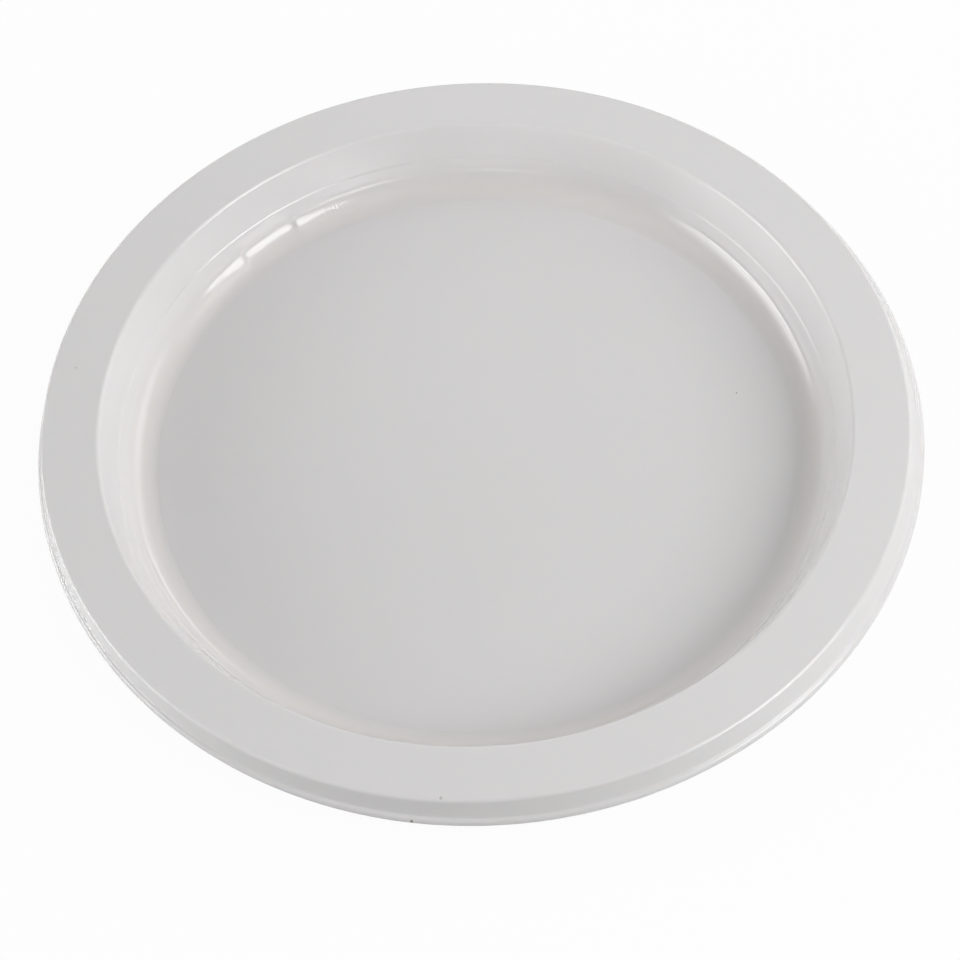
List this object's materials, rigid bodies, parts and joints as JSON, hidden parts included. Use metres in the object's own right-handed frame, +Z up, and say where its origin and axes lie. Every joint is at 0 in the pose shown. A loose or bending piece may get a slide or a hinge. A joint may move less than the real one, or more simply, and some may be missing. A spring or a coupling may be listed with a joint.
{
  "type": "plastic plate",
  "caption": "Shallow round plastic plate with a flat rim, a stacking ledge in the wall of the well and a short skirt that ends in a narrow trimmed edge.",
  "frame": {"origin": "on the axis of the well, in the plane that the base rests on", "axes": "+Z up, out of the open well; +X towards the side where the trimmed edge is widest"},
  "size_m": [0.2604, 0.2604, 0.0212],
  "materials": {
    "plastic": "glossy white, thermoformed polystyrene sheet"
  },
  "bodies": {
    "root": {"plate": "plastic"}
  },
  "joints": []
}
